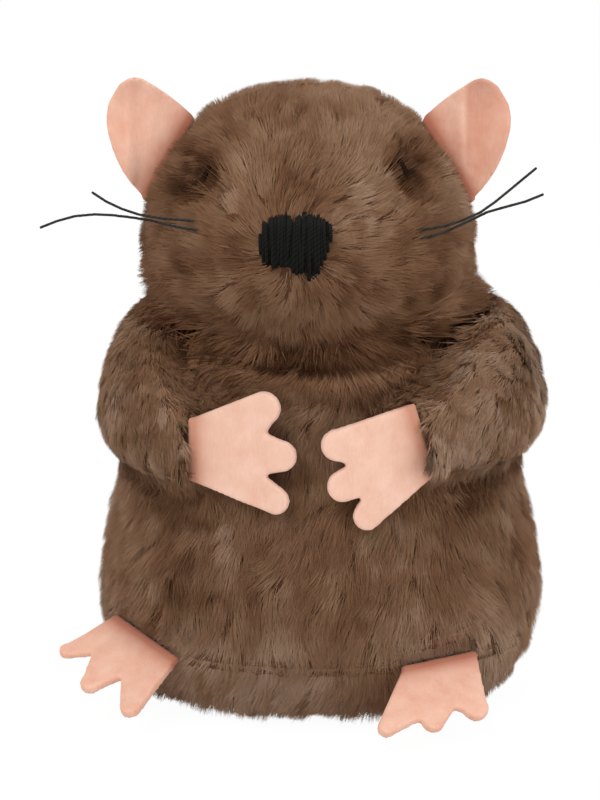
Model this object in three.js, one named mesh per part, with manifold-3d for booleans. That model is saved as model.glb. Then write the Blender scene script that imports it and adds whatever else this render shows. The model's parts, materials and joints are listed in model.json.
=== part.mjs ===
// A small plush mole, a stuffed toy for cats, sitting on its flat base.
// Millimetres, +Z up, the toy looks along -Y. The origin is the middle of the face it sits on.
// Left and right are the toy's own sides, so its left is +X.

import * as THREE from 'three';
import { mergeVertices } from 'three/addons/utils/BufferGeometryUtils.js';
import Module from 'manifold-3d';

const wasm = await Module();
wasm.setup();

// Cloth, felt and thread
const gap = 0.3; // daylight kept between neighbouring pieces
const flexGap = 0.45; // daylight round a piece that bends at its seam
const pileWall = 3; // fur fabric: backing with its pile lying over
const sleeveWall = 1.9; // the same fabric, pulled tighter round an arm
const feltThickness = 1.2;
const pouchSheet = 0.8;
const whiskerThread = 0.45; // diameter of the stiff waxed thread
const sewingThread = 0.5;
const overrun = 60; // how far a cutting block reaches past what it cuts

// Torso, from its flat base to the crown that the head covers
const torsoHeight = 54;
const torsoHalfWidth = 29.3;
const bellyDepth = 24.5;
const backDepth = 22;
const baseSeamHeight = 8.6;
const sideSeam = 1.2; // how far behind the middle the side seams run
const baseFlat = 0.5; // depth that its own weight presses flat

// Head
const crownDepth = 7.2; // how far the body's crown reaches up into the head
const headBottom = torsoHeight - crownDepth;
const headHeight = 33.5;
const headHalfWidth = 21.7;
const faceDepth = 21.5;
const napeDepth = 18;
const muzzleReach = 3;
const muzzleSpread = 7.5;
const muzzleRiseShare = 0.4537; // heights on the head count from its lower end
const muzzleHeight = headBottom + muzzleRiseShare * headHeight;
const headSide = -1.6; // the head leans this far to the toy's right
const headForward = -1;
const headTurn = THREE.MathUtils.degToRad(-2);

// Neck
const neckPivotDepth = 2; // below the body's crown
const neckPivotHeight = torsoHeight - neckPivotDepth;
const neckRingRadius = 8.5;
const neckWellDepth = 4.2;
const neckCord = 1.4; // several turns of sewing thread
const neckClearance = 0.55;
const nodDown = THREE.MathUtils.degToRad(5);
const nodUp = THREE.MathUtils.degToRad(8);
const turnReach = THREE.MathUtils.degToRad(20);

// Arms
const armRootDepth = 10; // below the body's crown
const armRootHeight = torsoHeight - armRootDepth;
const rightCuffDrop = 8.4; // from the shoulder to each cuff
const leftCuffDrop = 7;
const armHalfThickness = 4.4;
const armHalfHeight = 9.8;
const armRootAngle = THREE.MathUtils.degToRad(-5);
const armLeanShare = 0.75;
const rightArmSink = 1.6; // how deep each arm presses into the body's side
const leftArmSink = 0.7;
const cuffLift = 2.5;
const armEndShare = 0.05; // share of the arm over which an end's direction is read
const armEndTurn = THREE.MathUtils.degToRad(29); // between the rings of a rounded end
const armPanelReach = 12;
const armPanelHeight = 16;
const armCavityShares = [0.13, 0.89];
const armStuffingShares = [0.16, 0.86];
const slopeStep = 1;

// Hands and feet, cut from felt
const handLength = 11.5;
const rightHandHalfWidth = 4; // half the length of the seam that holds it
const leftHandHalfWidth = 4.8;
const fingerRadius = 2;
const footLength = 9.6;
const rightFootHalfWidth = 6.4;
const leftFootHalfWidth = 5.4;
const rightFootHeight = 10;
const leftFootHeight = 8.6;
const toeRadius = 1.4;
const pawSink = 1.1;
const handInward = THREE.MathUtils.degToRad(8);
const handOutward = THREE.MathUtils.degToRad(48);
const footDown = THREE.MathUtils.degToRad(3);
const footUp = THREE.MathUtils.degToRad(43);

// Ears, cut from felt
const earLength = 10.2;
const earHalfWidth = 6.1;
const earCupDepth = 2.6;
const earFoldShare = 0.25; // where the fold of the cup lies, up from the seam's middle
const earLowShare = 0.5313;
const earHighShare = 0.8478;
const earLow = headBottom + earLowShare * headHeight;
const earHigh = headBottom + earHighShare * headHeight;
const earSink = 0.35;
const earForward = THREE.MathUtils.degToRad(40);
const earBack = THREE.MathUtils.degToRad(25);

// Face
const noseHalfWidth = 4.7;
const noseHeight = 7.6;
const noseThickness = 1.3;
const noseStitches = 11;
const noseSide = -0.8;
const noseRiseShare = 0.467;
const noseCentreHeight = headBottom + noseRiseShare * headHeight;
const noseTaperShare = 0.42;
const noseLiftShare = 0.1;
const noseOverlapShare = 0.85;
const eyeSide = 12.4;
const eyeRiseShare = 0.6746;
const eyeHeight = headBottom + eyeRiseShare * headHeight;
const eyeHalfLength = 2.3;
const eyeHalfWidth = 0.8;
const eyeDimple = 1.3;
const eyeSlant = THREE.MathUtils.degToRad(27);

// Catnip pouch in the middle of the stuffing
const pouchHeight = 23;
const pouchRadius = 11;
const pouchHalfThickness = 4.5;
const pouchRim = 2;

// Closing seam down the middle of the back
const closingLow = 20;
const closingHigh = 38;
const closingStitches = 9;
const closingSwing = 0.5;

// How finely round forms are faceted
const torsoSides = 28;
const torsoRings = 17;
const headSides = 28;
const headRings = 15;
const innerSides = 20;
const innerRings = 10;
const armSides = 12;
const armRings = 8;
const threadSides = 3; // steps in each half of a thread's round section
const domeSteps = 4;
const domeSides = 16;
const slotSteps = 8;
const tipSteps = 6;
const rootSides = 10;
const wellSides = 22;
const cordSides = 6;
const stitchSides = 6;
const beadSides = 10;
const beadRings = 8;
const earRows = 10;
const earColumns = 8;
const halvingSteps = 40; // steps that find a height along an outline

// Each row: height, half width, front depth and back depth, as shares of the sizes above
const torsoShares = [
  [0, 0, 0, 0],
  [0.003, 0.56, 0.54, 0.58],
  [0.03, 0.76, 0.74, 0.8],
  [0.068, 0.87, 0.86, 0.9],
  [0.118, 0.945, 0.935, 0.96],
  [0.187, 0.985, 0.98, 1],
  [0.287, 1, 1, 1],
  [0.415, 0.96, 0.985, 0.97],
  [0.534, 0.92, 0.95, 0.925],
  [0.653, 0.845, 0.9, 0.87],
  [0.762, 0.765, 0.83, 0.81],
  [0.861, 0.685, 0.74, 0.72],
  [0.93, 0.57, 0.62, 0.6],
  [0.98, 0.38, 0.42, 0.41],
  [1, 0, 0, 0],
];
const headShares = [
  [0, 0, 0, 0],
  [0.015, 0.42, 0.42, 0.44],
  [0.065, 0.72, 0.7, 0.7],
  [0.155, 0.905, 0.88, 0.87],
  [0.275, 0.99, 0.985, 0.95],
  [0.42, 1, 1, 1],
  [0.59, 0.965, 0.92, 0.985],
  [0.74, 0.85, 0.72, 0.89],
  [0.86, 0.675, 0.53, 0.73],
  [0.945, 0.46, 0.36, 0.5],
  [0.985, 0.25, 0.2, 0.27],
  [1, 0, 0, 0],
];

// Each row: way along the arm, fall from shoulder to cuff, half thickness and half height
const armShares = [
  [0, 0, 0.34, 0.88],
  [0.14, 0.04, 0.72, 0.97],
  [0.32, 0.16, 0.97, 1],
  [0.52, 0.38, 1, 0.93],
  [0.72, 0.66, 0.88, 0.76],
  [0.88, 0.88, 0.68, 0.57],
  [1, 1, 0.55, 0.48],
];

// Fingers and toes: how far out and how far along the seam each tip lies, and how wide it is;
// then how far out and how far along the notches between them lie
const rightHandShares = {
  tips: [[0.94, -1.42, 0.88], [1, 0, 1], [0.81, 1.46, 1.05]],
  notches: [[0.8, -0.63], [0.83, 0.67]],
};
const leftHandShares = {
  tips: [[0.8, -1.42, 0.9], [0.955, -0.45, 1], [0.885, 0.63, 1]],
  notches: [[0.775, -0.89], [0.815, 0.03]],
};
const rightFootShares = {
  tips: [[0.82, -1, 0.76], [1, 0.13, 1], [0.935, 1.3, 1]],
  notches: [[0.63, -0.52], [0.66, 0.48]],
};
const leftFootShares = {
  tips: [[0.84, -2.17, 0.8], [0.9, -0.98, 1], [0.82, 0.2, 1.28]],
  notches: [[0.83, -1.4], [0.77, -0.29]],
};

// Ear edges: way out from the head, lower edge and upper edge
const earShares = [
  [0, -0.94, 1.06],
  [0.12, -0.9, 1.1],
  [0.3, -0.78, 1.16],
  [0.46, -0.64, 1.2],
  [0.66, -0.4, 1.23],
  [0.81, -0.16, 1.23],
  [0.92, 0.06, 1.14],
  [1, 0.4, 0.86],
];

// Whiskers, from where they leave the face: outwards and upwards
const whiskerReach = 19;
const whiskerSpacing = 1;
const whiskerSweepShare = 0.3;
const whiskerSteps = 26;
const whiskerRootShares = {
  right: [-0.6636, 0.5134],
  left: [0.7005, 0.4836],
};
const whiskerShares = {
  rightUpper: [[0.34, 0.03], [0.56, 0.11], [0.64, 0.16]],
  rightLower: [[0.26, 0.04], [0.6, 0.06], [0.8, 0.03], [1, -0.05]],
  leftUpper: [[0.25, 0.06], [0.36, 0.11], [0.71, 0.38]],
  leftLower: [[0.24, 0.08], [0.4, 0.15], [0.62, 0.2], [0.76, 0.25]],
};

// Joining and cutting

function facingOut(geometry) {
  const place = geometry.getAttribute('position');
  const order = geometry.getIndex().array;
  const a = new THREE.Vector3();
  const b = new THREE.Vector3();
  const c = new THREE.Vector3();
  let volume = 0;
  for (let i = 0; i < order.length; i += 3) {
    a.fromBufferAttribute(place, order[i]);
    b.fromBufferAttribute(place, order[i + 1]);
    c.fromBufferAttribute(place, order[i + 2]);
    volume += a.dot(b.cross(c));
  }
  if (volume < 0) {
    for (let i = 0; i < order.length; i += 3) {
      [order[i], order[i + 1]] = [order[i + 1], order[i]];
    }
  }
  return geometry;
}

function merged(geometry) {
  const bare = geometry.clone();
  bare.deleteAttribute('normal');
  bare.deleteAttribute('uv');
  return facingOut(mergeVertices(bare));
}

function solidOf(geometry) {
  const clean = merged(geometry);
  return new wasm.Manifold(new wasm.Mesh({
    numProp: 3,
    vertProperties: new Float32Array(clean.getAttribute('position').array),
    triVerts: new Uint32Array(clean.getIndex().array),
  }));
}

function geometryOf(solid) {
  const mesh = solid.getMesh();
  const geometry = new THREE.BufferGeometry();
  geometry.setAttribute('position', new THREE.BufferAttribute(mesh.vertProperties, mesh.numProp));
  geometry.setIndex(new THREE.BufferAttribute(mesh.triVerts, 1));
  geometry.computeVertexNormals();
  return geometry;
}

function cutBy(solid, ...tools) {
  return tools.reduce((rest, tool) => rest.subtract(tool), solid);
}

function joined(solids) {
  return solids.reduce((sum, solid) => sum.add(solid));
}

function block(low, high) {
  const size = new THREE.Vector3().subVectors(high, low);
  const middle = new THREE.Vector3().addVectors(low, high).divideScalar(2);
  const box = new THREE.BoxGeometry(size.x, size.y, size.z);
  return solidOf(box.translate(middle.x, middle.y, middle.z));
}

// Everything on one side of a plane across X, Y or Z
function side(axis, level, direction) {
  const low = new THREE.Vector3(-overrun, -overrun, -overrun);
  const high = new THREE.Vector3(overrun, overrun, 2 * overrun);
  if (direction > 0) {
    low[axis] = level;
  } else {
    high[axis] = level;
  }
  return block(low, high);
}

// Lofted forms

// Skins a row of rings that all have the same number of points, and closes both ends
function loft(rings) {
  const count = rings[0].length;
  const ends = [rings[0], rings[rings.length - 1]].map((ring) => ring
    .reduce((sum, point) => sum.add(point), new THREE.Vector3())
    .divideScalar(count));
  const points = [...rings.flat(), ...ends];
  const first = points.length - 2;
  const last = points.length - 1;
  const top = (rings.length - 1) * count;
  const order = [];
  for (let j = 0; j < count; j += 1) {
    const next = (j + 1) % count;
    for (let i = 0; i < rings.length - 1; i += 1) {
      const low = i * count;
      const high = low + count;
      order.push(low + j, low + next, high + next);
      order.push(low + j, high + next, high + j);
    }
    order.push(first, next, j);
    order.push(last, top + j, top + next);
  }
  const geometry = new THREE.BufferGeometry().setFromPoints(points);
  geometry.setIndex(order);
  return facingOut(geometry);
}

// Moves a closed form's skin outwards, or inwards where the amount is negative
function swollen(geometry, amount) {
  const grown = merged(geometry);
  grown.computeVertexNormals();
  const place = grown.getAttribute('position');
  const normal = grown.getAttribute('normal');
  for (let i = 0; i < place.count; i += 1) {
    place.setXYZ(
      i,
      place.getX(i) + amount * normal.getX(i),
      place.getY(i) + amount * normal.getY(i),
      place.getZ(i) + amount * normal.getZ(i),
    );
  }
  return grown;
}

// The upright outline of a stuffed body: half width, front and back depth against height
function outlineOf(shares, bottom, height, halfWidth, front, back) {
  const sides = shares.map(([up, wide, fore]) => (
    new THREE.Vector3(wide * halfWidth, fore * front, bottom + up * height)));
  const backs = shares.map(([up, , , aft]) => new THREE.Vector3(aft * back, 0, bottom + up * height));
  return {
    sides: new THREE.CatmullRomCurve3(sides, false, 'catmullrom', 0.5),
    backs: new THREE.CatmullRomCurve3(backs, false, 'catmullrom', 0.5),
  };
}

function sectionAlong(outline, share) {
  const point = outline.sides.getPoint(share);
  return {
    wide: Math.max(point.x, 0),
    fore: Math.max(point.y, 0),
    aft: Math.max(outline.backs.getPoint(share).x, 0),
    height: point.z,
  };
}

// The section at a height, found by halving the way along the outline
function sectionAt(outline, height) {
  let low = 0;
  let high = 1;
  for (let step = 0; step < halvingSteps; step += 1) {
    const middle = (low + high) / 2;
    if (outline.sides.getPoint(middle).z < height) {
      low = middle;
    } else {
      high = middle;
    }
  }
  return sectionAlong(outline, (low + high) / 2);
}

// A point on the skin; the angle runs from the +X side towards the front
function skinPoint(section, angle) {
  const sine = Math.sin(angle);
  const depth = sine > 0 ? section.fore : section.aft;
  return new THREE.Vector3(section.wide * Math.cos(angle), -depth * sine, section.height);
}

function stuffedForm(outline, ringCount, sideCount, shape = (point) => point) {
  const rings = [];
  for (let i = 0; i <= ringCount; i += 1) {
    const share = i / ringCount;
    const section = sectionAlong(outline, share);
    const ring = [];
    for (let j = 0; j < sideCount; j += 1) {
      ring.push(shape(skinPoint(section, -2 * Math.PI * j / sideCount)));
    }
    rings.push(ring);
  }
  return loft(rings);
}

const torsoOutline = outlineOf(
  torsoShares,
  -baseFlat,
  torsoHeight + baseFlat,
  torsoHalfWidth,
  bellyDepth,
  backDepth,
);
const headOutline = outlineOf(headShares, headBottom, headHeight, headHalfWidth, faceDepth, napeDepth);

// The muzzle swells forward round the nose
function muzzleSwell(x, z) {
  const away = x * x + (z - muzzleHeight) ** 2;
  return muzzleReach * Math.exp(-away / (2 * muzzleSpread * muzzleSpread));
}

function withMuzzle(point) {
  if (point.y < 0) {
    point.y -= muzzleSwell(point.x, point.z) * Math.min(1, -point.y / muzzleSpread);
  }
  return point;
}

function facePoint(x, z) {
  const section = sectionAt(headOutline, z);
  const across = Math.sqrt(Math.max(0, 1 - (x / section.wide) ** 2));
  return withMuzzle(new THREE.Vector3(x, -section.fore * across, z));
}

// Felt flaps that bend at the seam that holds them. Each lies in its own frame: +X runs out from
// the seam, Y along the seam and Z through the felt, with the seam at the origin.

function seamFrame(origin, out, along) {
  const through = new THREE.Vector3().crossVectors(out, along).normalize();
  const away = new THREE.Vector3().crossVectors(along, through).normalize();
  return new THREE.Matrix4().makeBasis(away, along, through).setPosition(origin);
}

// The room that a flap needs to bend: a slot that widens like a fan from the seam
function bendingSlot(frame, rootHalf, bendDown, bendUp, reach) {
  const radius = feltThickness / 2 + flexGap;
  const quarter = Math.PI / 2;
  const upper = new THREE.Vector2(Math.cos(bendUp), Math.sin(bendUp));
  const lower = new THREE.Vector2(Math.cos(bendDown), Math.sin(bendDown));
  const fan = new THREE.Shape();
  fan.absarc(0, 0, radius, bendUp + quarter, bendDown + 3 * quarter, false);
  fan.lineTo(reach * lower.x + radius * lower.y, reach * lower.y - radius * lower.x);
  fan.lineTo(reach * upper.x - radius * upper.y, reach * upper.y + radius * upper.x);
  fan.closePath();
  const depth = 2 * (rootHalf + flexGap);
  const slot = new THREE.ExtrudeGeometry(fan, { depth, bevelEnabled: false, curveSegments: slotSteps });
  slot.translate(0, 0, -depth / 2);
  slot.rotateX(quarter);
  return solidOf(slot.applyMatrix4(frame));
}

function roundedRoot(rootHalf) {
  return solidOf(new THREE.CylinderGeometry(feltThickness / 2, feltThickness / 2, 2 * rootHalf, rootSides));
}

// A hand or foot: a palm with three blunt fingers
function pawFelt({ shares, rootHalf }, length, tipRadius) {
  const outline = new THREE.Shape();
  outline.moveTo(0, -rootHalf);
  shares.tips.forEach(([out, along, wide], i) => {
    const tip = new THREE.Vector2(out * length, along * rootHalf);
    const radius = wide * tipRadius;
    const start = tip.angle() - Math.PI / 2;
    outline.lineTo(tip.x + radius * Math.cos(start), tip.y + radius * Math.sin(start));
    outline.absarc(tip.x, tip.y, radius, start, start + Math.PI, false);
    if (i < shares.notches.length) {
      const [notchOut, notchAlong] = shares.notches[i];
      outline.lineTo(notchOut * length, notchAlong * rootHalf);
    }
  });
  outline.lineTo(0, rootHalf);
  const depth = feltThickness;
  const felt = new THREE.ExtrudeGeometry(outline, {
    depth,
    bevelEnabled: false,
    curveSegments: tipSteps,
  });
  return solidOf(felt.translate(0, 0, -depth / 2)).add(roundedRoot(rootHalf));
}

// An ear: flat at its seam, cupped towards the front further out
function earFelt(toFront) {
  const lower = new THREE.CatmullRomCurve3(earShares.map(([out, low]) => (
    new THREE.Vector3(out * earLength, low * earHalfWidth, 0))));
  const upper = new THREE.CatmullRomCurve3(earShares.map(([out, , high]) => (
    new THREE.Vector3(out * earLength, high * earHalfWidth, 0))));
  const rings = [];
  for (let i = 0; i <= earRows; i += 1) {
    const share = i / earRows;
    const low = lower.getPoint(share);
    const high = upper.getPoint(share);
    const rise = THREE.MathUtils.smoothstep(share, 1 / earRows, 1);
    const front = [];
    const back = [];
    for (let j = 0; j <= earColumns; j += 1) {
      const across = j / earColumns;
      const point = new THREE.Vector3().lerpVectors(low, high, across);
      const bend = point.y / earHalfWidth - earFoldShare;
      const middle = toFront * earCupDepth * rise * bend * bend;
      front.push(new THREE.Vector3(point.x, point.y, middle + feltThickness / 2));
      back.unshift(new THREE.Vector3(point.x, point.y, middle - feltThickness / 2));
    }
    rings.push([...front, ...back]);
  }
  return solidOf(loft(rings)).add(roundedRoot(earHalfWidth));
}

// A thread along a curve
function threadAlong(points, diameter, steps) {
  const curve = new THREE.CatmullRomCurve3(points);
  const section = new THREE.Shape().absarc(0, 0, diameter / 2, 0, 2 * Math.PI, false);
  return new THREE.ExtrudeGeometry(section, {
    steps,
    curveSegments: threadSides,
    extrudePath: curve,
    bevelEnabled: false,
  });
}

// Head, in its own frame: its Z axis is the neck's upright axis

const headForm = stuffedForm(headOutline, headRings, headSides, withMuzzle);
const headInner = stuffedForm(headOutline, innerRings, innerSides, withMuzzle);
const headSkin = solidOf(headForm);

function noseEmbroidery() {
  const pitch = 2 * noseHalfWidth / noseStitches;
  const stitches = [];
  for (let i = 0; i < noseStitches; i += 1) {
    const across = (2 * i + 1) / noseStitches - 1;
    const length = noseHeight * (1 - noseTaperShare * across * across);
    const height = noseCentreHeight + noseLiftShare * noseHeight * across * across;
    const seat = facePoint(noseSide + across * noseHalfWidth, height);
    const stitch = new THREE.SphereGeometry(1, stitchSides, stitchSides);
    stitch.scale(noseOverlapShare * pitch, noseThickness, length / 2);
    stitches.push(solidOf(stitch.translate(seat.x, seat.y, seat.z)));
  }
  return cutBy(joined(stitches), solidOf(swollen(headForm, gap)));
}

function eyeCentre(way) {
  const seat = facePoint(way * eyeSide, eyeHeight);
  const inward = new THREE.Vector3(-seat.x, -seat.y, 0).normalize();
  return seat.add(inward.multiplyScalar(eyeDimple));
}

function eyeForm(way, centre, grow) {
  const bead = new THREE.SphereGeometry(1, beadSides, beadRings);
  bead.scale(eyeHalfWidth + grow, eyeHalfWidth + grow, eyeHalfLength + grow);
  bead.rotateY(-way * eyeSlant);
  return solidOf(bead.translate(centre.x, centre.y, centre.z));
}

// The dent that the drawn-in stitch pulls into the face, and the stitch's own seat in it
function eyeDent(way) {
  const dent = eyeForm(way, facePoint(way * eyeSide, eyeHeight), eyeDimple);
  return dent.add(eyeForm(way, eyeCentre(way), gap));
}

function eyeTie(diameter) {
  const thread = solidOf(threadAlong([eyeCentre(-1), eyeCentre(1)], diameter, 2));
  return cutBy(thread, eyeForm(-1, eyeCentre(-1), gap), eyeForm(1, eyeCentre(1), gap));
}

// Half a whisker thread, from its hole in the face outwards
function whiskerSide([sideShare, riseShare], shares, level) {
  const height = headBottom + riseShare * headHeight + level * whiskerSpacing / 2;
  const hole = facePoint(sideShare * headHalfWidth, height);
  const points = shares.map(([out, up]) => new THREE.Vector3(
    hole.x + Math.sign(sideShare) * out * whiskerReach,
    hole.y + whiskerSweepShare * out * whiskerReach - level * whiskerSpacing / 2,
    height + up * whiskerReach,
  ));
  return [hole, ...points];
}

// Each thread runs right through the head and stands out on both sides
function whiskerThreadForm(rightShares, leftShares, level, diameter) {
  const right = whiskerSide(whiskerRootShares.right, rightShares, level);
  const left = whiskerSide(whiskerRootShares.left, leftShares, level);
  const middle = new THREE.Vector3().addVectors(right[0], left[0]).divideScalar(2);
  return solidOf(threadAlong([...right.reverse(), middle, ...left], diameter, whiskerSteps));
}

const whiskers = {
  upper: [whiskerShares.rightUpper, whiskerShares.leftUpper, 1],
  lower: [whiskerShares.rightLower, whiskerShares.leftLower, -1],
};

// Ear seams: straight lines just under the skin, from the lower corner to the upper one
function earFrame(way) {
  const low = sectionAt(headOutline, earLow);
  const high = sectionAt(headOutline, earHigh);
  const lowCorner = new THREE.Vector3(way * (low.wide - earSink), 0, earLow);
  const highCorner = new THREE.Vector3(way * (high.wide - earSink), 0, earHigh);
  const along = new THREE.Vector3().subVectors(highCorner, lowCorner).normalize();
  const out = new THREE.Vector3(way * along.z, 0, -way * along.x);
  const middle = new THREE.Vector3().addVectors(lowCorner, highCorner).divideScalar(2);
  return seamFrame(middle, out, along);
}

function earSlot(way) {
  const bend = way > 0 ? [-earBack, earForward] : [-earForward, earBack];
  return bendingSlot(earFrame(way), earHalfWidth, ...bend, earLength);
}

const headChannels = [
  eyeTie(sewingThread + 2 * gap),
  whiskerThreadForm(...whiskers.upper, whiskerThread + 2 * gap),
  whiskerThreadForm(...whiskers.lower, whiskerThread + 2 * gap),
];

function neckOpening(radius, low, high) {
  const opening = new THREE.CylinderGeometry(radius, radius, high - low, wellSides);
  opening.rotateX(Math.PI / 2);
  return solidOf(opening.translate(0, 0, (low + high) / 2));
}

function headShell() {
  const core = solidOf(swollen(headInner, -pileWall));
  const opening = neckOpening(neckRingRadius, headBottom - pileWall, headBottom + 2 * pileWall);
  return cutBy(headSkin, core, opening, earSlot(-1), earSlot(1), ...headChannels);
}

function headStuffing() {
  return cutBy(solidOf(swollen(headInner, -pileWall - gap)), ...headChannels);
}

// The space that the head sweeps as it turns and nods, in the toy's frame
function headSweep(clearance) {
  const grown = solidOf(swollen(headInner, clearance));
  const poses = [];
  for (const turn of [-turnReach, 0, turnReach]) {
    for (const nod of [-nodUp, 0, nodDown]) {
      const pose = new THREE.Matrix4().makeTranslation(headSide, headForward, neckPivotHeight)
        .multiply(new THREE.Matrix4().makeRotationZ(headTurn + turn))
        .multiply(new THREE.Matrix4().makeRotationX(nod))
        .multiply(new THREE.Matrix4().makeTranslation(0, 0, -neckPivotHeight));
      poses.push(grown.transform(pose.elements));
    }
  }
  return joined(poses);
}

// Torso

const torsoForm = stuffedForm(torsoOutline, torsoRings, torsoSides);
const torsoInner = stuffedForm(torsoOutline, innerRings, innerSides);
const sweptHead = headSweep(neckClearance);
const sleeveSweep = headSweep(neckClearance + sleeveWall);
const torsoRoom = solidOf(swollen(torsoForm, gap));

function pouchDome(radius, halfThickness, start) {
  const points = [];
  for (let i = 0; i <= domeSteps; i += 1) {
    const share = i / domeSteps;
    points.push(new THREE.Vector2(share * radius, start + halfThickness * (1 - share * share)));
  }
  return points;
}

// One sheet of the pouch: a dome with a flat sewn rim
function pouchSheetForm(way) {
  const inside = pouchDome(pouchRadius, pouchHalfThickness, gap / 2);
  const outside = pouchDome(pouchRadius + pouchSheet, pouchHalfThickness, gap / 2 + pouchSheet);
  const rim = [
    new THREE.Vector2(pouchRadius + pouchRim, gap / 2),
    new THREE.Vector2(pouchRadius + pouchRim, gap / 2 + pouchSheet),
  ];
  const sheet = new THREE.LatheGeometry([...inside, ...rim, ...outside.reverse()], domeSides);
  sheet.rotateX(way * Math.PI / 2);
  return solidOf(sheet.translate(0, 0, pouchHeight));
}

function catnipForm() {
  const top = pouchDome(pouchRadius - pouchRim, pouchHalfThickness - gap, 0);
  const under = top.slice(0, -1).map((point) => new THREE.Vector2(point.x, -point.y));
  const filling = new THREE.LatheGeometry([...under, ...top.reverse()], domeSides);
  filling.rotateX(Math.PI / 2);
  return solidOf(filling.translate(0, 0, pouchHeight));
}

// The room that the pouch takes in the stuffing
function pouchRoom() {
  const rise = pouchSheet + 2 * gap;
  const brim = new THREE.Vector2(pouchRadius + pouchRim + gap, rise);
  const upper = [...pouchDome(pouchRadius + pouchSheet + gap, pouchHalfThickness, rise), brim];
  const under = upper.map((point) => new THREE.Vector2(point.x, -point.y)).reverse();
  const room = new THREE.LatheGeometry([...upper, ...under], domeSides);
  room.rotateX(Math.PI / 2);
  return solidOf(room.translate(0, 0, pouchHeight));
}

function closingPoints(swing) {
  const points = [];
  for (let i = 0; i <= closingStitches; i += 1) {
    const height = closingLow + (closingHigh - closingLow) * i / closingStitches;
    const skin = sectionAt(torsoOutline, height).aft - sewingThread / 2;
    points.push(new THREE.Vector3(swing * (i % 2 ? 1 : -1), skin, height));
  }
  return points;
}

function closingThread() {
  return solidOf(threadAlong(closingPoints(closingSwing), sewingThread, 2 * closingStitches));
}

function closingGroove() {
  const width = 2 * (closingSwing + gap) + sewingThread;
  const groove = closingPoints(0);
  groove[0].z -= width;
  groove[closingStitches].z += width;
  return solidOf(threadAlong(groove, width, closingStitches));
}

// Arms: stuffed sleeves that start at the side seam and lie round the belly

const arms = {
  right: {
    way: -1, cuffAngle: 55, cuffDrop: rightCuffDrop, handYaw: 18, handDip: 0,
    sink: rightArmSink, rootHalf: rightHandHalfWidth, shares: rightHandShares,
  },
  left: {
    way: 1, cuffAngle: 64, cuffDrop: leftCuffDrop, handYaw: 12, handDip: 17,
    sink: leftArmSink, rootHalf: leftHandHalfWidth, shares: leftHandShares,
  },
};

const armWays = new THREE.CatmullRomCurve3(
  armShares.map(([way, fall, thick]) => new THREE.Vector3(way, fall, thick)),
  false,
  'catmullrom',
  0.5,
);
const armTalls = new THREE.CatmullRomCurve3(
  armShares.map(([, , , tall]) => new THREE.Vector3(tall, 0, 0)),
  false,
  'catmullrom',
  0.5,
);

// The middle, directions and half sizes of an arm at a share of its length
function armSection(arm, share, beyond = 0) {
  const held = armWays.getPoint(THREE.MathUtils.clamp(share, 0, 1));
  const tall = armTalls.getPoint(THREE.MathUtils.clamp(share, 0, 1)).x;
  const cuff = THREE.MathUtils.degToRad(arm.cuffAngle);
  const angle = THREE.MathUtils.lerp(armRootAngle, cuff, held.x + beyond);
  const height = armRootHeight - arm.cuffDrop * held.y;
  const here = sectionAt(torsoOutline, height);
  const above = sectionAt(torsoOutline, height + slopeStep);
  const slope = (above.wide - here.wide) / slopeStep;
  const depth = angle > 0 ? here.fore : here.aft;
  const skin = skinPoint(here, angle);
  const outward = new THREE.Vector3(Math.cos(angle) / here.wide, -Math.sin(angle) / depth, 0);
  outward.normalize();
  const up = outward.clone().multiplyScalar(armLeanShare * slope).add(new THREE.Vector3(0, 0, 1));
  up.normalize();
  outward.addScaledVector(up, -outward.dot(up)).normalize();
  const thick = held.z * armHalfThickness;
  const lift = thick + gap - arm.sink + cuffLift * held.x * held.x;
  const centre = skin.addScaledVector(outward, lift);
  for (const vector of [centre, outward, up]) {
    vector.x *= arm.way;
  }
  return { centre, outward, up, thick, tall: tall * armHalfHeight };
}

function armRing({ centre, outward, up, thick, tall }, less, shrink, move) {
  const ring = [];
  for (let j = 0; j < armSides; j += 1) {
    const angle = 2 * Math.PI * j / armSides;
    ring.push(centre.clone().add(move)
      .addScaledVector(outward, (thick * shrink - less) * Math.cos(angle))
      .addScaledVector(up, (tall - (1 - shrink) * thick - less) * Math.sin(angle)));
  }
  return ring;
}

// An end rounded off beyond its last full section
function armEnd(arm, share, towards) {
  const section = armSection(arm, share);
  const next = armSection(arm, share - towards * armEndShare);
  const away = section.centre.clone().sub(next.centre);
  away.addScaledVector(section.up, -away.dot(section.up)).normalize();
  return [1, 2, 3].map((step) => {
    const turn = step * armEndTurn;
    const move = away.clone().multiplyScalar(section.thick * Math.sin(turn));
    return armRing(section, 0, Math.cos(turn), move);
  });
}

function armForm(arm, less, from, to, ringCount) {
  const rings = [];
  for (let i = 0; i <= ringCount; i += 1) {
    const share = THREE.MathUtils.lerp(from, to, i / ringCount);
    rings.push(armRing(armSection(arm, share), less, 1, new THREE.Vector3()));
  }
  if (less === 0) {
    rings.unshift(...armEnd(arm, 0, -1).reverse());
    rings.push(...armEnd(arm, 1, 1));
  }
  return solidOf(loft(rings));
}

// Everything on the body's side of the seam that runs along the middle of a sleeve
function bodySide(arm, shift) {
  const rings = [];
  for (let i = -2; i <= armRings + 2; i += 1) {
    const share = i / armRings;
    const beyond = share - THREE.MathUtils.clamp(share, 0, 1);
    const { centre, outward, up } = armSection(arm, share, beyond);
    const seam = centre.clone().addScaledVector(outward, shift);
    const inner = centre.clone().addScaledVector(outward, -armPanelReach);
    rings.push([
      seam.clone().addScaledVector(up, armPanelHeight),
      seam.clone().addScaledVector(up, -armPanelHeight),
      inner.clone().addScaledVector(up, -armPanelHeight),
      inner.clone().addScaledVector(up, armPanelHeight),
    ]);
  }
  return solidOf(loft(rings));
}

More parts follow.
